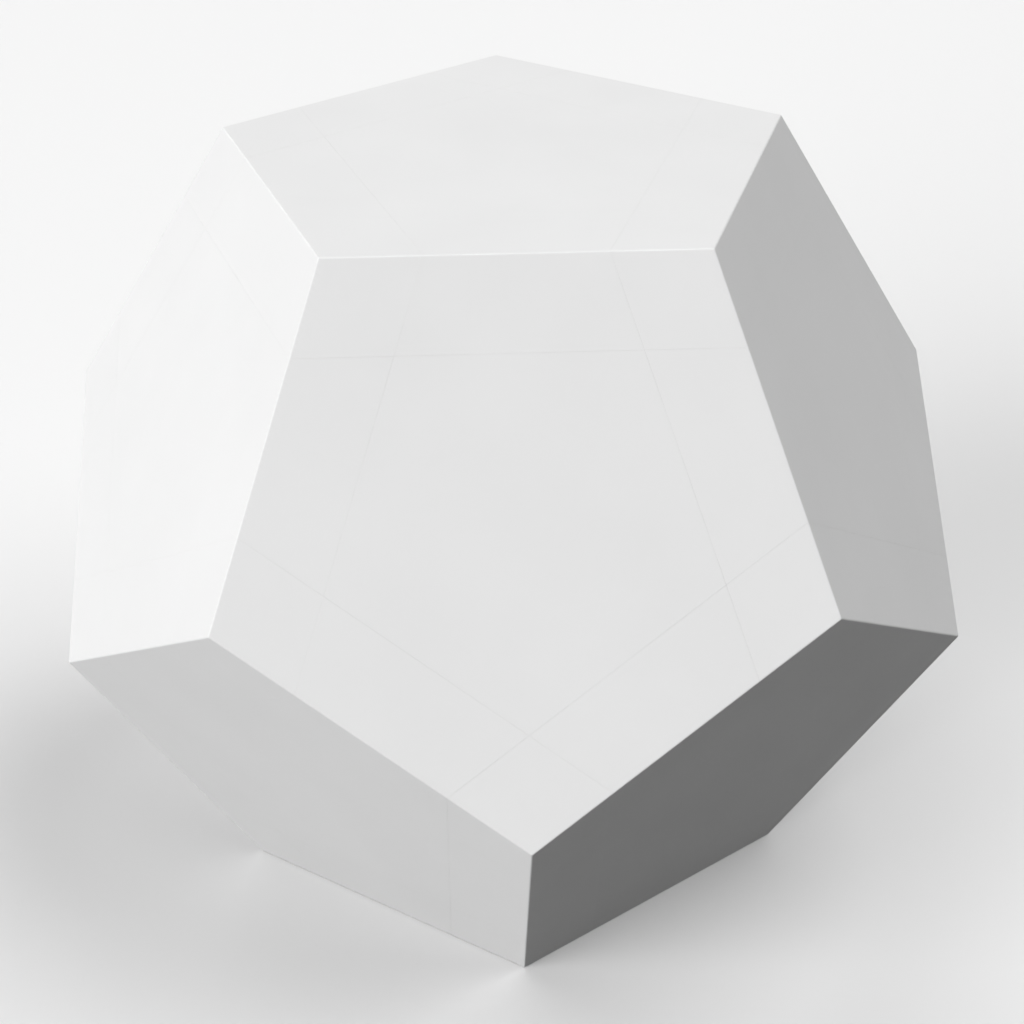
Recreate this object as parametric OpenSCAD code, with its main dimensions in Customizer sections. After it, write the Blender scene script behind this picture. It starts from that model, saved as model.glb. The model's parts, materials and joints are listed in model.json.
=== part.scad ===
// A twelve-sided face-turning puzzle. Twelve screwed centres hold thirty edge pieces and
// twenty corner pieces round a core with twelve arms. It stands on its base face.

/* [Shell] */
// Length of each of the thirty outer edges
edge = 32; // [31.5:0.25:32]
// Depth of a turning layer below its face
layer_depth = 7.2; // [7.1:0.1:7.3]
// Gap between neighbouring pieces, and between a layer and the rest
piece_gap = 0.1; // [0.06:0.02:0.16]

/* [Feet] */
// Height above the puzzle's middle at which the feet hook under their neighbours
ledge_h = 19; // [19:0.25:19.5]
// Half angle of the cone that the feet of a layer end at
foot_angle = 48; // [48:0.5:48.5]
// Radius of the empty space inside the feet
hollow_r = 21; // [20.75:0.25:21.25]

/* [Core] */
// Radius of the ball in the middle
ball_r = 12; // [10:0.5:14]
// Radius of each arm
arm_r = 4.5; // [3.5:0.25:4.5]
// Height of an arm's end above the puzzle's middle
arm_h = 20.3; // [19.5:0.1:20.3]

/* [Centre fittings] */
// Radius of a screw's shank
screw_r = 1.5; // [1.25:0.05:1.6]
// Radial gap between a screw and what turns on it
screw_gap = 0.08; // [0.05:0.01:0.1]
// Radius of a screw's head
head_r = 3; // [2.6:0.1:3]
// Height of a screw's head
head_h = 1.3; // [1:0.1:1.4]
// Thickness of a washer
washer_t = 0.5; // [0.4:0.1:0.6]
// Radius of the well that holds the spring
well_r = 4; // [4:0.1:4.4]
// Height of the well's floor above the puzzle's middle
well_h = 26; // [25:0.25:27]
// Radius of a spring, to the middle of its wire
coil_r = 2.6; // [2.4:0.1:2.8]
// Radius of a spring's wire
wire_r = 0.35; // [0.25:0.05:0.4]
// Number of turns in a spring
coil_turns = 4; // [3:1:5]
// Thickness of the cover over a centre
cap_t = 2.2; // [2:0.1:2.3]
// Depth of the ring under a cover that grips its well
skirt_h = 1; // [0.8:0.1:1.1]

/* [Hidden] */
$fn = 96;
SIDES = 5;                        // sides of a face
SECTOR = 360 / SIDES;             // angle between a face's neighbours
FACE_TILT = acos(1 / sqrt(5));    // angle between the axes of neighbouring faces
inradius = edge / 2 * sqrt((25 + 11 * sqrt(5)) / 10);
cut_h = inradius - layer_depth;   // height of a layer's cut above the middle

// The cut is flat near the surface, and turns down a cone that clears the corners' stalks.
STALK_ANGLE = 41.5;
CORNER_TILT = acos(sqrt((5 + 2 * sqrt(5)) / 15)); // between a face's axis and its corners
CORNER_FOOT_ANGLE = 10.2;         // half angle of a corner's foot, as seen from the middle
FOOT_REACH = 25 / 19;             // height of a corner's foot over the height of the ledges
RIM_REACH = 1.015;                // radius of a layer over its edge, just past its widest point
rim_r = RIM_REACH * edge;
corner_foot_h = FOOT_REACH * ledge_h;
far = 60;                         // past the outside of the puzzle, for a shape that cuts
floor_h = 12;                     // where a layer's shape ends, inside the hollow
foot_low_h = hollow_r - 1.5;      // where a corner's foot ends, inside the hollow
foot_end_angle = foot_angle + 2;  // half angle of the cone that cuts an edge piece's feet back
foot_end_h = cut_h - 4;           // top of that cone, above the ledges
overshoot = 1;                    // how far a hole runs past what it goes through

FRONT_AZIMUTH = -90;              // the upper ring starts with the face at the front
// Faces: 0 is the top, 1 to 5 the upper ring, 6 to 10 the lower ring and 11 the base.
TOP = 0;
FRONT = 1;
BACK = 3;
BASE = 11;
TURNING = [FRONT, BACK, BASE];
SAME_AXIS = 0.01;                 // axes nearer than this are one face's
FIXED = [for (f = [TOP:BASE]) if (!turns(f)) f];

function turns(f) = len([for (t = TURNING) if (t == f) t]) > 0;
function in_upper_ring(f) = f > 0 && f <= SIDES;
function tilt(f) = f == TOP ? 0 : f == BASE ? 180 : in_upper_ring(f) ? FACE_TILT : 180 - FACE_TILT;
function azimuth(f) = f == TOP ? FRONT_AZIMUTH
    : f == BASE ? -FRONT_AZIMUTH + SECTOR / 2
    : in_upper_ring(f) ? FRONT_AZIMUTH + SECTOR * (f - 1)
    : FRONT_AZIMUTH + SECTOR * (f - 1 - SIDES) + SECTOR / 2;
// In its own frame a face has its axis along Z and its neighbour 0 towards X.
function spin(f) = in_upper_ring(f) ? SECTOR / 2 : 0;

function direction(t, a) = [sin(t) * cos(a), sin(t) * sin(a), cos(t)];
function tipped(v, t) = [v.x * cos(t) + v.z * sin(t), v.y, v.z * cos(t) - v.x * sin(t)];
function turned(v, a) = [v.x * cos(a) - v.y * sin(a), v.x * sin(a) + v.y * cos(a), v.z];
function neighbour_axis(f, k) =
    turned(tipped(direction(FACE_TILT, spin(f) + SECTOR * k), tilt(f)), azimuth(f));
// The number of the face that is neighbour k of face f
function neighbour(f, k) = [
    for (g = [TOP:BASE])
        if (norm(direction(tilt(g), azimuth(g)) - neighbour_axis(f, k)) < SAME_AXIS) g
][0];

// The pieces that belong to no turning layer, each as its face and its place round that face
FIXED_CORNERS = [
    for (f = FIXED, k = [0:SIDES - 1])
        let (g = neighbour(f, k), h = neighbour(f, k + 1))
            if (f < g && f < h && !turns(g) && !turns(h)) [f, k]
];
FIXED_EDGES = [
    for (f = FIXED, k = [0:SIDES - 1])
        let (g = neighbour(f, k))
            if (f < g && !turns(g)) [f, k]
];

LAYER_NAMES = ["front", "back", "base"];
HUB_NAMES = [
    "top_hub", "front_hub", "upper_right_hub", "back_hub", "upper_rear_hub", "upper_left_hub",
    "lower_right_hub", "lower_right_rear_hub", "lower_rear_hub", "lower_left_rear_hub",
    "lower_left_hub", "base_hub"
];

shell_colour = [0.94, 0.94, 0.94];
core_colour = [0.85, 0.85, 0.86];
steel_colour = [0.7, 0.71, 0.73];

// Puts a shape drawn about +Z on face f, at its real place
module on_face(f)
    translate([0, 0, inradius])
        rotate([0, tilt(f), azimuth(f)])
            rotate([0, 0, spin(f)]) children();

// Puts a shape drawn about +Z on neighbour k of the face that is being drawn
module on_neighbour(k)
    rotate([0, 0, SECTOR * k])
        rotate([0, FACE_TILT, 0]) children();

// Radius at height h of a cone from the middle, moved in by its wall's distance s
function cone_r(angle, h, s) = (h - s / sin(angle)) * tan(angle);

// All that turns with a face. Its walls are moved in by s, out to radius r and up to height h.
module layer(s, r, h)
    rotate_extrude()
        polygon([
            [0, floor_h],
            [cone_r(foot_angle, floor_h, s), floor_h],
            [cone_r(foot_angle, ledge_h - s, s), ledge_h - s],
            [cone_r(STALK_ANGLE, ledge_h - s, s), ledge_h - s],
            [cone_r(STALK_ANGLE, cut_h + s, s), cut_h + s],
            [r, cut_h + s],
            [r, h],
            [0, h]
        ]);

// The same without its feet, for a corner piece, whose foot has a shape of its own
module footless_layer(s)
    rotate_extrude()
        polygon([
            [0, floor_h],
            [cone_r(STALK_ANGLE, floor_h, s), floor_h],
            [cone_r(STALK_ANGLE, cut_h + s, s), cut_h + s],
            [rim_r, cut_h + s],
            [rim_r, inradius],
            [0, inradius]
        ]);

module inside_layer() layer(piece_gap / 2, rim_r, inradius);
module clear_of_layer() layer(-piece_gap / 2, far, far);
module inside_stalk() footless_layer(piece_gap / 2);
module hollow() sphere(hollow_r);

// A corner piece belongs to its own face and to neighbours k and k + 1.
module corner(k)
    color(shell_colour)
        difference() {
            union() {
                intersection() {
                    inside_stalk();
                    on_neighbour(k) inside_stalk();
                    on_neighbour(k + 1) inside_stalk();
                }
                rotate([0, 0, SECTOR * (k + 0.5)])
                    rotate([0, CORNER_TILT, 0]) corner_foot();
            }
            hollow();
        }

// A round foot about the line from the middle to the corner
module corner_foot()
    translate([0, 0, foot_low_h])
        cylinder(r1 = foot_low_h * tan(CORNER_FOOT_ANGLE), r2 = corner_foot_h * tan(CORNER_FOOT_ANGLE),
            h = corner_foot_h - foot_low_h);

// A foot's end is cut back by this cone, which clears the corner's foot beside it.
module foot_end()
    translate([0, 0, floor_h])
        cylinder(r1 = floor_h * tan(foot_end_angle), r2 = foot_end_h * tan(foot_end_angle),
            h = foot_end_h - floor_h);

module below_ledge() cylinder(r = far, h = ledge_h);

// An edge piece belongs to its own face and to neighbour k, and ends at two more.
module edge_piece(k)
    color(shell_colour)
        difference() {
            intersection() {
                inside_layer();
                on_neighbour(k) inside_layer();
            }
            for (end = [k - 1, k + 1]) on_neighbour(end) clear_of_layer();
            intersection() {
                for (end = [k - 1, k + 1]) on_neighbour(end) foot_end();
                union() {
                    below_ledge();
                    on_neighbour(k) below_ledge();
                }
            }
            hollow();
        }

// What is left of a face's layer inside its five edge pieces and five corner pieces
module centre_block()
    difference() {
        inside_layer();
        for (k = [0:SIDES - 1]) on_neighbour(k) clear_of_layer();
        hollow();
    }

cap_h = inradius - cap_t;         // height of a cover's underside
boss_gap = 0.1;                   // between an arm's end and its hub
boss_r = 5.4;                     // clears the neighbours' feet all round
hook_h = 27.6;                    // underside of a hub, over the tips of those feet
head_gap = 0.2;                   // between a screw's head and the cover over it
head_low_h = cap_h - head_gap - head_h;
washer_low_h = head_low_h - washer_t;
washer_rim = 0.3;                 // how far a washer stands out round the head
skirt_gap = 0.02;                 // between a cover's ring and its well
skirt_t = 0.6;                    // wall of that ring

// The screwed part of a centre, with a well for its spring
module hub()
    color(shell_colour)
        difference() {
            union() {
                intersection() {
                    centre_block();
                    translate([0, 0, hook_h]) cylinder(r = rim_r, h = cap_h - piece_gap / 2 - hook_h);
                }
                translate([0, 0, arm_h + boss_gap]) cylinder(r = boss_r, h = hook_h - arm_h);
            }
            cylinder(r = screw_r + screw_gap, h = inradius);
            translate([0, 0, well_h]) cylinder(r = well_r, h = inradius);
        }

// The cover that closes a centre, with a ring that grips the well
module cap()
    color(shell_colour) {
        intersection() {
            centre_block();
            translate([0, 0, cap_h + piece_gap / 2]) cylinder(r = rim_r, h = cap_t);
        }
        translate([0, 0, cap_h - skirt_h])
            difference() {
                cylinder(r = well_r - skirt_gap, h = skirt_h + piece_gap);
                translate([0, 0, -overshoot])
                    cylinder(r = well_r - skirt_t, h = skirt_h + 2 * overshoot);
            }
    }

arm_low_h = ball_r - 2;           // where an arm starts, inside the ball
pilot_h = ball_r + 1;             // height of the bottom of a screw's pilot hole
tip_gap = 0.5;                    // left under a screw's tip
slot_w = 0.8;                     // each arm of the cross in a screw's head
slot_l = 1.2 * head_r;
slot_h = 0.7;

module core()
    color(core_colour)
        difference() {
            union() {
                translate([0, 0, inradius]) rotate([90, 0, 0]) sphere(ball_r);
                for (f = [TOP:BASE])
                    on_face(f) translate([0, 0, arm_low_h]) cylinder(r = arm_r, h = arm_h - arm_low_h);
            }
            for (f = [TOP:BASE])
                on_face(f) translate([0, 0, pilot_h]) cylinder(r = screw_r, h = arm_h);
        }

module screw()
    color(steel_colour)
        difference() {
            union() {
                translate([0, 0, pilot_h + tip_gap]) cylinder(r = screw_r, h = head_low_h - pilot_h);
                translate([0, 0, head_low_h]) cylinder(r = head_r, h = head_h);
            }
            for (a = [0, 90])
                rotate([0, 0, a])
                    translate([-slot_l / 2, -slot_w / 2, head_low_h + head_h - slot_h])
                        cube([slot_l, slot_w, slot_h + overshoot]);
        }

module washer()
    color(steel_colour)
        translate([0, 0, washer_low_h])
            difference() {
                cylinder(r = head_r + washer_rim, h = washer_t);
                translate([0, 0, -overshoot])
                    cylinder(r = screw_r + screw_gap, h = washer_t + 2 * overshoot);
            }

// A compression spring: a ring of points swept up a helix
module spring() {
    ring_sides = 5;
    turn_steps = 10;
    steps = coil_turns * turn_steps;
    floor_gap = 0.1;
    washer_gap = 0.05;
    low_h = well_h + floor_gap + wire_r;
    rise = (washer_low_h - washer_gap - wire_r - low_h) / steps;
    points = [
        for (i = [0:steps], j = [0:ring_sides - 1])
            let (a = i * 360 / turn_steps, b = j * 360 / ring_sides, r = coil_r + wire_r * cos(b))
                [r * cos(a), r * sin(a), low_h + rise * i + wire_r * sin(b)]
    ];
    sides = [
        for (i = [0:steps - 1], j = [0:ring_sides - 1])
            let (n = (j + 1) % ring_sides, at = i * ring_sides)
                [at + j, at + ring_sides + j, at + ring_sides + n, at + n]
    ];
    first_end = [for (j = [0:ring_sides - 1]) j];
    last_end = [for (j = [ring_sides - 1:-1:0]) steps * ring_sides + j];
    color(steel_colour)
        polyhedron(points = points, faces = concat(sides, [first_end, last_end]), convexity = 6);
}

module screws() for (f = [TOP:BASE]) on_face(f) screw();
module washers() for (f = [TOP:BASE]) on_face(f) washer();
module springs() for (f = [TOP:BASE]) on_face(f) spring();
module fixed_edges() for (e = FIXED_EDGES) on_face(e[0]) edge_piece(e[1]);
module fixed_caps() for (f = FIXED) on_face(f) cap();

core();
screws();
washers();
springs();
fixed_edges();
fixed_caps();
for (f = [TOP:BASE])
    on_face(f) hub();
for (i = [0:len(FIXED_CORNERS) - 1])
    on_face(FIXED_CORNERS[i][0]) corner(FIXED_CORNERS[i][1]);
for (n = [0:len(TURNING) - 1])
    on_face(TURNING[n]) cap();
for (n = [0:len(TURNING) - 1], k = [0:SIDES - 1])
    on_face(TURNING[n]) corner(k);
for (n = [0:len(TURNING) - 1], k = [0:SIDES - 1])
    on_face(TURNING[n]) edge_piece(k);
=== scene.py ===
# %% [markdown]
# A twelve-sided twisty puzzle, dressed for its picture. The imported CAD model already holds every
# piece at its true size, so this lesson adds what CAD leaves out: seams that close up at the
# surface, slightly softened outer edges, wound springs, and plastic and steel that look right.

# %% Load the fixed frame
import json
import math

import bpy
import numpy as np
from mathutils import Matrix, Vector


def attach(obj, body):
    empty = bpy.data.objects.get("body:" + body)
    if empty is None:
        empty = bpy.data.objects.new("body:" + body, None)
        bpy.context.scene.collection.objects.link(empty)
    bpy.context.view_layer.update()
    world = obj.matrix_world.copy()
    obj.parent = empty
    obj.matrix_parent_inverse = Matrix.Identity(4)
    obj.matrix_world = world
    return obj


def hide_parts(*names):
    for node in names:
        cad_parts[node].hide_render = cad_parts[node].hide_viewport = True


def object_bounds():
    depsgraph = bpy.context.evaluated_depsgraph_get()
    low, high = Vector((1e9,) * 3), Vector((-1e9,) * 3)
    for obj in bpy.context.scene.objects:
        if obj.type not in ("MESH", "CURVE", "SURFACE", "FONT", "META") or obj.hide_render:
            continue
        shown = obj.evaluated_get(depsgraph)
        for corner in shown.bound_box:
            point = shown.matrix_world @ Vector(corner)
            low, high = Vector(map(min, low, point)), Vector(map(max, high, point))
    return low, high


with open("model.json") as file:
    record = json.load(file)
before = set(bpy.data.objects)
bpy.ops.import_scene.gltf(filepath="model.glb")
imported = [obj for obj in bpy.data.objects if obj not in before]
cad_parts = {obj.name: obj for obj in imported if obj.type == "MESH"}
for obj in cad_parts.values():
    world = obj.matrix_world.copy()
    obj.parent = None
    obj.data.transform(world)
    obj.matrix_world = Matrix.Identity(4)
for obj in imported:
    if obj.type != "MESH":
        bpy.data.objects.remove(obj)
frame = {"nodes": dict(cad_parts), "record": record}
cad_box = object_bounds()

# %% [markdown]
# A regular dodecahedron needs only one measure, and every other size follows from it. The puzzle
# stands on a face, so its height is twice the distance from its middle to a face. Each face is a
# plane at that distance, and a turning layer is cut by a second plane a little nearer the middle.

# %% Measure the solid
MM = 0.001
low, high = (Vector(corner) for corner in cad_box)
INRADIUS = (high.z - low.z) / 2
EDGE = 4 * INRADIUS / math.sqrt((50 + 22 * math.sqrt(5)) / 5)
MIDDLE = Vector((0, 0, low.z + INRADIUS))
LAYER_DEPTH = 7.2 * MM
CUT = INRADIUS - LAYER_DEPTH
RING_TILT = math.acos(1 / math.sqrt(5))
FRONT_AZIMUTH, SECTOR = -90, 72


def axis_at(tilt, azimuth_deg):
    """A unit vector, tilted from straight up towards an azimuth."""
    a = math.radians(azimuth_deg)
    return Vector((math.sin(tilt) * math.cos(a), math.sin(tilt) * math.sin(a), math.cos(tilt)))


FACE_AXES = [axis_at(0, 0), axis_at(math.pi, 0)]
for n in range(5):
    FACE_AXES.append(axis_at(RING_TILT, FRONT_AZIMUTH + SECTOR * n))
    FACE_AXES.append(axis_at(math.pi - RING_TILT, FRONT_AZIMUTH + SECTOR * (n + 0.5)))
print(f"edge {EDGE / MM:.2f} mm, across faces {2 * INRADIUS / MM:.2f} mm")


# %% [markdown]
# Operators act on whatever is selected, so every step starts from a clean selection with one
# active object. A finished piece then rides on a body, stands for its CAD node, which is hidden,
# and takes the one material that it is given.

# %% Selection and finishing helpers
def only(obj):
    """Selects this object alone and makes it the active one."""
    if bpy.context.object and bpy.context.object.mode != "OBJECT":
        bpy.ops.object.mode_set(mode="OBJECT")
    bpy.ops.object.select_all(action="DESELECT")
    obj.select_set(True)
    bpy.context.view_layer.objects.active = obj
    return obj


def body_holding(node):
    """The body that a CAD node moves with."""
    groups = frame["record"]["behaviour"]["bodies"]
    return next(body for body, nodes in groups.items() if node in nodes)


def finish_piece(piece, node, material):
    piece.data.materials.clear()
    piece.data.materials.append(material)
    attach(piece, body_holding(node))
    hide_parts(node)


# %% [markdown]
# The shell is pale moulded plastic with an even, matte finish. A real moulding is never one flat
# colour: the pigment clouds very slightly, the surface keeps the fine texture of its mould, and
# handled areas are a touch smoother. Each of those is a noise pattern at its own scale.

# %% Plastics
def noise(nodes, links, coords, size, detail=2.0):
    """A noise pattern whose lumps are about this size in metres."""
    pattern = nodes.new("ShaderNodeTexNoise")
    pattern.inputs["Scale"].default_value = 1 / size
    pattern.inputs["Detail"].default_value = detail
    links.new(coords.outputs["Object"], pattern.inputs["Vector"])
    return pattern.outputs["Fac"]


RAMP_FROM, RAMP_TO = 0.3, 0.7


def ramp(nodes, links, source, dark, light):
    """A colour that runs from dark to light as the pattern rises."""
    mixer = nodes.new("ShaderNodeValToRGB")
    mixer.color_ramp.elements[0].position = RAMP_FROM
    mixer.color_ramp.elements[1].position = RAMP_TO
    mixer.color_ramp.elements[0].color = (*dark, 1)
    mixer.color_ramp.elements[1].color = (*light, 1)
    links.new(source, mixer.inputs["Fac"])
    return mixer.outputs["Color"]


def span(nodes, links, source, lowest, highest):
    """The pattern stretched to a range of numbers."""
    stretch = nodes.new("ShaderNodeMapRange")
    stretch.inputs["To Min"].default_value = lowest
    stretch.inputs["To Max"].default_value = highest
    links.new(source, stretch.inputs["Value"])
    return stretch.outputs["Result"]


CLOUD_SIZE, WEAR_SIZE, MOULD_TEXTURE_SIZE = 14 * MM, 6 * MM, 0.35 * MM
PLASTIC_IOR = 1.46
PLASTIC_SHINE = 0.3
TEXTURE_STRENGTH = 0.02


def moulded_plastic(name, dark, light, gloss, texture_depth):
    """Matte plastic: clouded pigment, uneven gloss and a fine mould texture."""
    material = bpy.data.materials.new(name)
    material.use_nodes = True
    nodes, links = material.node_tree.nodes, material.node_tree.links
    shader = nodes["Principled BSDF"]
    shader.inputs["IOR"].default_value = PLASTIC_IOR
    shader.inputs["Specular IOR Level"].default_value = PLASTIC_SHINE
    coords = nodes.new("ShaderNodeTexCoord")
    cloud = noise(nodes, links, coords, CLOUD_SIZE, 3)
    links.new(ramp(nodes, links, cloud, dark, light), shader.inputs["Base Color"])
    wear = noise(nodes, links, coords, WEAR_SIZE, 4)
    links.new(span(nodes, links, wear, gloss[0], gloss[1]), shader.inputs["Roughness"])
    bump = nodes.new("ShaderNodeBump")
    bump.inputs["Strength"].default_value = TEXTURE_STRENGTH
    bump.inputs["Distance"].default_value = texture_depth
    links.new(noise(nodes, links, coords, MOULD_TEXTURE_SIZE, 3), bump.inputs["Height"])
    links.new(bump.outputs["Normal"], shader.inputs["Normal"])
    return material


shell_plastic = moulded_plastic("pale_shell_plastic", (0.77, 0.77, 0.77), (0.79, 0.79, 0.79),
                                (0.58, 0.7), 0.01 * MM)
core_plastic = moulded_plastic("grey_core_plastic", (0.5, 0.5, 0.51), (0.56, 0.56, 0.57),
                               (0.4, 0.55), 0.015 * MM)
print("plastics:", shell_plastic.name, core_plastic.name)

# %% [markdown]
# The fittings are plated steel. Their finish comes from fine drawing marks, so the noise is
# squeezed along one direction until its lumps become streaks.

# %% Steel
STREAK_WIDTH = 0.4 * MM
STREAK_SQUEEZE = (1, 1, 0.1)


def drawn_steel(name):
    material = bpy.data.materials.new(name)
    material.use_nodes = True
    nodes, links = material.node_tree.nodes, material.node_tree.links
    shader = nodes["Principled BSDF"]
    shader.inputs["Metallic"].default_value = 1.0
    coords = nodes.new("ShaderNodeTexCoord")
    squeeze = nodes.new("ShaderNodeMapping")
    squeeze.inputs["Scale"].default_value = STREAK_SQUEEZE
    links.new(coords.outputs["Object"], squeeze.inputs["Vector"])
    streaks = nodes.new("ShaderNodeTexNoise")
    streaks.inputs["Scale"].default_value = 1 / STREAK_WIDTH
    links.new(squeeze.outputs["Vector"], streaks.inputs["Vector"])
    tone = ramp(nodes, links, streaks.outputs["Fac"], (0.5, 0.51, 0.53), (0.66, 0.67, 0.69))
    links.new(tone, shader.inputs["Base Color"])
    links.new(span(nodes, links, streaks.outputs["Fac"], 0.25, 0.42), shader.inputs["Roughness"])
    return material


fitting_steel = drawn_steel("drawn_fitting_steel")
print("steel:", fitting_steel.name)

# %% [markdown]
# In the CAD model the pieces stand a tenth of a millimetre apart all the way down, which is what
# they need to turn. On the finished puzzle that gap closes to a hairline at the very surface. Each
# shell piece starts as a copy of its CAD node. Its loose triangles are merged and flat areas joined
# into single faces, and then its rim is drawn along the outer face until it almost meets the cut
# plane. Nothing below the rim moves, so the feet keep their fit.

# %% Copying a node and closing its rim
HAIRLINE = 0.004 * MM
ON_PLANE = 0.002 * MM
CAD_HALF_GAP = 0.05 * MM
SAME_POINT = 0.0005 * MM
FLAT_ENOUGH = math.radians(0.05)


def copy_of_node(node):
    """A merged copy of a CAD node, with each flat area as one face."""
    source = frame["nodes"][node]
    piece = bpy.data.objects.new(node + "_shell", source.data.copy())
    bpy.context.scene.collection.objects.link(piece)
    only(piece)
    bpy.ops.object.mode_set(mode="EDIT")
    bpy.ops.mesh.select_all(action="SELECT")
    bpy.ops.mesh.remove_doubles(threshold=SAME_POINT)
    bpy.ops.mesh.dissolve_limited(angle_limit=FLAT_ENOUGH)
    bpy.ops.object.mode_set(mode="OBJECT")
    return piece


def rim_shift(place):
    """How far a point of the rim moves, or None if it isn't on the rim."""
    from_middle = place - MIDDLE
    heights = [axis.dot(from_middle) for axis in FACE_AXES]
    kept = [(a, 0.0) for a, h in zip(FACE_AXES, heights) if abs(h - INRADIUS) < ON_PLANE]
    drawn = []
    for axis, height in zip(FACE_AXES, heights):
        side = 1 if height > CUT else -1
        if abs(height - CUT - side * CAD_HALF_GAP) < ON_PLANE:
            drawn.append((axis, CUT + side * HAIRLINE - height))
    if not kept or not drawn:
        return None
    rows = kept + drawn
    lean = np.array([row[0] for row in rows])
    return Vector(np.linalg.lstsq(lean, np.array([row[1] for row in rows]), rcond=None)[0])


def close_rim(piece):
    moved = 0
    for vertex in piece.data.vertices:
        shift = rim_shift(vertex.co)
        if shift is not None:
            vertex.co += shift
            moved += 1
    return moved


# %% [markdown]
# Moulded edges are never knife sharp. Only the thirty outer edges of the solid are softened, and
# not the seams, so neighbours still read as one unbroken face. An outer edge is one whose two ends
# both lie on two face planes at once. A bevel with three steps rounds it.

# %% Softening the outer edges
EDGE_ROUND = 0.1 * MM
ROUND_STEPS = 3
SHARP_ABOVE = math.radians(25)


def faces_through(place):
    """Which face planes a point lies on."""
    from_middle = place - MIDDLE
    return {n for n, a in enumerate(FACE_AXES) if abs(a.dot(from_middle) - INRADIUS) < ON_PLANE}


def soften_outer_edges(piece):
    mesh = piece.data
    planes = [faces_through(v.co) for v in mesh.vertices]
    outer = [e.index for e in mesh.edges if len(planes[e.vertices[0]] & planes[e.vertices[1]]) >= 2]
    if not outer:
        return 0
    only(piece)
    bpy.ops.object.mode_set(mode="EDIT")
    bpy.ops.mesh.select_mode(type="EDGE")
    bpy.ops.mesh.select_all(action="DESELECT")
    bpy.ops.object.mode_set(mode="OBJECT")
    for index in outer:
        mesh.edges[index].select = True
    bpy.ops.object.mode_set(mode="EDIT")
    bpy.ops.mesh.bevel(offset=EDGE_ROUND, offset_type="OFFSET", segments=ROUND_STEPS, profile=0.5)
    bpy.ops.object.mode_set(mode="OBJECT")
    return len(outer)


def dress_shell(node):
    piece = copy_of_node(node)
    rim = close_rim(piece)
    edges = soften_outer_edges(piece)
    only(piece)
    bpy.ops.object.shade_smooth_by_angle(angle=SHARP_ABOVE)
    finish_piece(piece, node, shell_plastic)
    return rim, edges


shell_nodes = [n for n in frame["nodes"]
               if "corner" in n or "edge" in n or n.endswith(("cap", "caps"))]
counts = [dress_shell(node) for node in sorted(shell_nodes)]
print(len(counts), "shell pieces,", sum(c[0] for c in counts), "rim points,",
      sum(c[1] for c in counts), "outer edges softened")

# %% [markdown]
# Twelve short compression springs sit in the wells of the centres. A spring is a small circle of
# wire carried up a helix, which is what the Screw modifier does. One is wound, and the other
# eleven are copies that are turned to their own face and then given their place in their mesh.

# %% Winding the springs
COIL_RADIUS = 2.6 * MM
WIRE_RADIUS = 0.35 * MM
TURNS = 4
SPRING_LOW, SPRING_HIGH = 26.45 * MM, 31.0 * MM
WIRE_SIDES = 12
STEPS_PER_TURN = 24


def wind_spring():
    bpy.ops.object.select_all(action="DESELECT")
    bpy.ops.mesh.primitive_circle_add(vertices=WIRE_SIDES, radius=WIRE_RADIUS, fill_type="NOTHING",
                                      location=(COIL_RADIUS, 0, SPRING_LOW),
                                      rotation=(math.radians(90), 0, 0))
    spring = bpy.context.object
    only(spring)
    bpy.ops.object.transform_apply(location=True, rotation=True, scale=True)
    winding = spring.modifiers.new("winding", "SCREW")
    winding.angle = 2 * math.pi * TURNS
    winding.screw_offset = SPRING_HIGH - SPRING_LOW
    winding.steps = winding.render_steps = STEPS_PER_TURN * TURNS
    bpy.ops.object.modifier_apply(modifier=winding.name)
    bpy.ops.object.mode_set(mode="EDIT")
    bpy.ops.mesh.select_all(action="DESELECT")
    bpy.ops.mesh.select_non_manifold()
    bpy.ops.mesh.edge_face_add()
    bpy.ops.mesh.select_all(action="SELECT")
    bpy.ops.mesh.normals_make_consistent(inside=False)
    bpy.ops.object.mode_set(mode="OBJECT")
    return spring


first_spring = wind_spring()
springs = []
for axis in FACE_AXES:
    spring = first_spring.copy()
    spring.data = first_spring.data.copy()
    bpy.context.scene.collection.objects.link(spring)
    turn = axis.to_track_quat("Z", "Y").to_matrix().to_4x4()
    spring.data.transform(Matrix.Translation(MIDDLE) @ turn)
    springs.append(spring)
bpy.data.objects.remove(first_spring)
only(springs[0])
for spring in springs:
    spring.select_set(True)
bpy.ops.object.join()
coil_springs = bpy.context.object
coil_springs.name = "coil_springs"
only(coil_springs)
bpy.ops.object.shade_smooth()
finish_piece(coil_springs, "springs", fitting_steel)
print("springs:", len(springs), "faces:", len(coil_springs.data.polygons))

# %% [markdown]
# The hubs, core, screws and washers already have their true shape, so they stay as CAD nodes and
# only take a finish.

# %% Finishing the inner pieces
def paint_node(node, material):
    data = frame["nodes"][node].data
    if not data.materials:
        data.materials.append(material)
    for index in range(len(data.materials)):
        data.materials[index] = material


hubs = [n for n in frame["nodes"] if n.endswith("_hub")]
for node in hubs:
    paint_node(node, shell_plastic)
paint_node("core", core_plastic)
for node in ("screws", "washers"):
    paint_node(node, fitting_steel)
print("finished", len(hubs), "hubs and the core, screws and washers")

# %% [markdown]
# The camera looks nearly straight at the front face from about thirty degrees up, from a little
# left of centre. It is placed from the solid's own size, so it would still frame a larger one.

# %% Camera
DISTANCE = 6.713 * EDGE
LENS = 77.5
SENSOR_WIDTH = 36
SIDE_STEP, DOWN_STEP = 0.006 * EDGE, 0.038 * EDGE
NEAR, FAR = 0.01, 20
AZIMUTH, ELEVATION, ROLL = (math.radians(x) for x in (-2.05, 30.3, -0.54))

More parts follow.
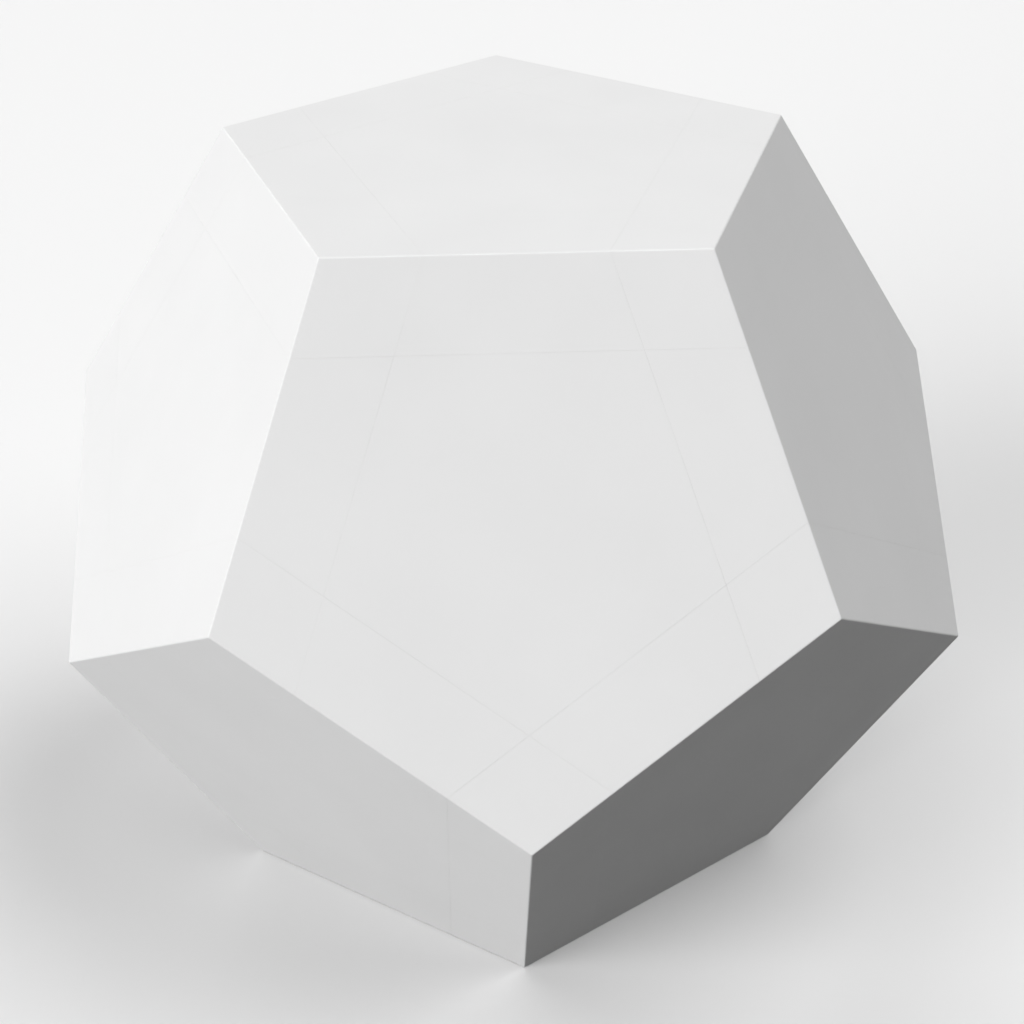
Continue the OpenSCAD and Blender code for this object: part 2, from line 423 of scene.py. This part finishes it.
toward = Vector((math.cos(ELEVATION) * math.sin(AZIMUTH), -math.cos(ELEVATION) * math.cos(AZIMUTH),
                 math.sin(ELEVATION)))
facing = (-toward).to_track_quat("-Z", "Y").to_matrix().to_4x4()
data = bpy.data.cameras.new("camera")
data.lens = LENS
data.sensor_width = SENSOR_WIDTH
data.clip_start, data.clip_end = NEAR, FAR
camera = bpy.data.objects.new("camera", data)
bpy.context.scene.collection.objects.link(camera)
side_step = facing @ Vector((SIDE_STEP, -DOWN_STEP, 0, 0))
camera.matrix_world = (Matrix.Translation(MIDDLE + DISTANCE * toward + side_step.to_3d())
                       @ facing @ Matrix.Rotation(ROLL, 4, "Z"))
bpy.context.scene.camera = camera
print("camera", tuple(round(c, 4) for c in camera.location))

# %% [markdown]
# The light is soft. Three broad suns keep each face one even tone, and the difference between the
# tones is what shows the form. The key is low at the front left, and lights the left face and the
# faces under it. The other two stand on the right and behind, and fill the top and the right. The
# floor is a plain pale sheet. It shows, and it takes shadows, but it throws no light back up, or the
# faces that lean towards it would all be as pale as the upper ones. The world past the floor is a
# pale backdrop and no lamp, so it shows but lights nothing. The plain view transform keeps pale
# plastic pale, where a filmic one would grey it.

# %% Floor and light
FLOOR_SIZE = 6.0
FLOOR_DROP = 0.01 * MM
FLOOR_TONE = 0.86
BACKDROP_STRENGTH = 0.9
SOFTNESS = math.radians(60)


def soft_sun(name, azimuth_deg, elevation_deg, strength):
    """A broad, far lamp that shines on the puzzle from one direction."""
    lamp_data = bpy.data.lights.new(name, "SUN")
    lamp_data.energy = strength
    lamp_data.angle = SOFTNESS
    lamp = bpy.data.objects.new(name, lamp_data)
    bpy.context.scene.collection.objects.link(lamp)
    away = axis_at(math.radians(90 - elevation_deg), azimuth_deg)
    lamp.location = MIDDLE + away
    lamp.rotation_euler = (-away).to_track_quat("-Z", "Y").to_euler()
    return lamp


bpy.ops.object.select_all(action="DESELECT")
bpy.ops.mesh.primitive_plane_add(size=FLOOR_SIZE, location=(0, 0, low.z - FLOOR_DROP))
floor = bpy.context.object
floor.name = "floor"
floor_paint = bpy.data.materials.new("floor_paint")
floor_paint.use_nodes = True
floor_shader = floor_paint.node_tree.nodes["Principled BSDF"]
floor_shader.inputs["Base Color"].default_value = (FLOOR_TONE, FLOOR_TONE, FLOOR_TONE, 1)
floor_shader.inputs["Roughness"].default_value = 0.9
floor.data.materials.append(floor_paint)
floor.visible_diffuse = False

soft_sun("front_left_key", -140, 10, 4.6)
soft_sun("right_fill", 0, 50, 2.03)
soft_sun("rear_fill", 120, 50, 1.08)
world = bpy.data.worlds.new("world")
world.use_nodes = True
world.node_tree.nodes["Background"].inputs["Color"].default_value = (1, 1, 1, 1)
world.node_tree.nodes["Background"].inputs["Strength"].default_value = BACKDROP_STRENGTH
world.cycles_visibility.diffuse = False
world.cycles_visibility.glossy = False
bpy.context.scene.world = world
bpy.context.scene.view_settings.view_transform = "Standard"
print("floor and lights are in place")
